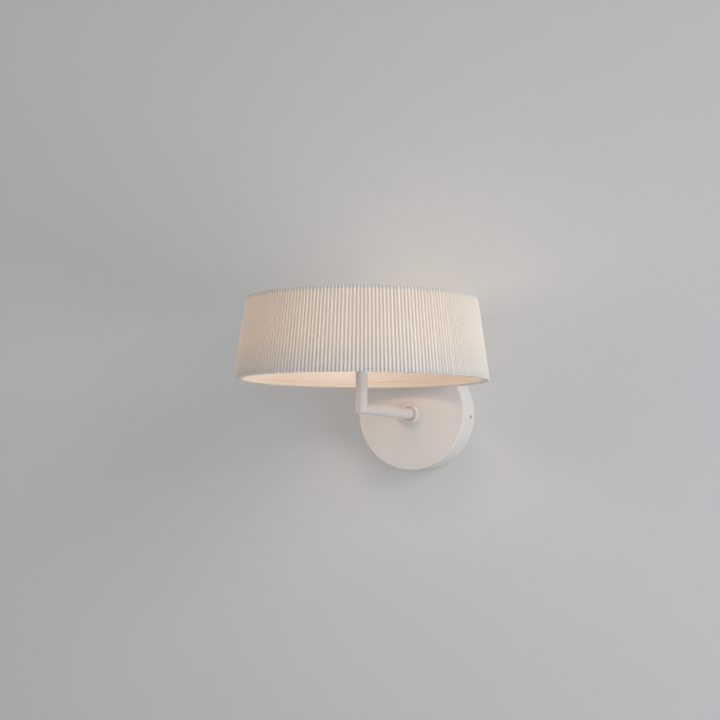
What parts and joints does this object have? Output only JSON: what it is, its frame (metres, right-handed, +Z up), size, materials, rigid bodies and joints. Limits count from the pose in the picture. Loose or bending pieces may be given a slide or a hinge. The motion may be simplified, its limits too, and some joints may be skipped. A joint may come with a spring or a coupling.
{
  "type": "wall sconce",
  "caption": "Wall sconce with a tapered drum shade of narrow upright pleats, carried on a mitred tube arm that stands out from a round wall cover.",
  "frame": {"origin": "middle of the two wall screw slots, in the plane of the wall, on the arm's axis", "axes": "+X to the right when facing the wall, +Y into the wall, +Z up; the light stands out towards -Y"},
  "size_m": [0.26, 0.3018, 0.172],
  "materials": {
    "white_paint": "matt white powder coat",
    "zinc_steel": "zinc plated",
    "plain_brass": "plain turned",
    "turned_aluminium": "turned",
    "white_board": "solder mask",
    "phosphor": "silicone over phosphor",
    "opal_plastic": "satin opal",
    "ring_plastic": "satin",
    "liner_plastic": "translucent film",
    "shade_cloth": "fine pleated cotton",
    "driver_plastic": "moulded",
    "terminal_plastic": "natural nylon",
    "brown_sheath": "sheathing",
    "blue_sheath": "sheathing",
    "green_sheath": "sheathing",
    "white_sheath": "sheathing"
  },
  "bodies": {
    "fixture": {"wall_bracket": "zinc_steel", "wall_cover": "white_paint", "cover_grub_screws": "zinc_steel", "arm_collar": "white_paint", "wall_nipple": "plain_brass", "wall_washer": "zinc_steel", "wall_nut": "zinc_steel", "arm_tube": "white_paint", "stem_tube": "white_paint", "head_nipple": "plain_brass", "base_cap": "white_paint", "led_core": "turned_aluminium", "led_strip": "white_board", "led_chips": "phosphor", "opal_tube": "opal_plastic", "top_cap": "white_paint", "head_nut": "zinc_steel", "led_driver": "driver_plastic", "terminal_block": "terminal_plastic", "terminal_screws": "zinc_steel", "module_screws": "zinc_steel", "earth_screw": "zinc_steel", "earth_lug": "plain_brass", "live_wire": "brown_sheath", "neutral_wire": "blue_sheath", "earth_wire": "green_sheath", "lamp_lead": "white_sheath", "strip_wires": "white_sheath"},
    "shade": {"shade_spider": "white_paint", "shade_top_ring": "ring_plastic", "shade_bottom_ring": "ring_plastic", "shade_liner": "liner_plastic", "shade_pleats": "shade_cloth"},
    "finial": {"finial": "white_paint"}
  },
  "joints": [
    {"name": "shade_lift", "type": "slide", "parent": "fixture", "child": "shade", "axis": [0, 0, 1], "range_m": [0, 0.1]},
    {"name": "finial_turn", "type": "hinge", "parent": "shade", "child": "finial", "pos_m": [0, -0.1718, 0.1], "axis": [0, 0, 1], "continuous": true}
  ]
}
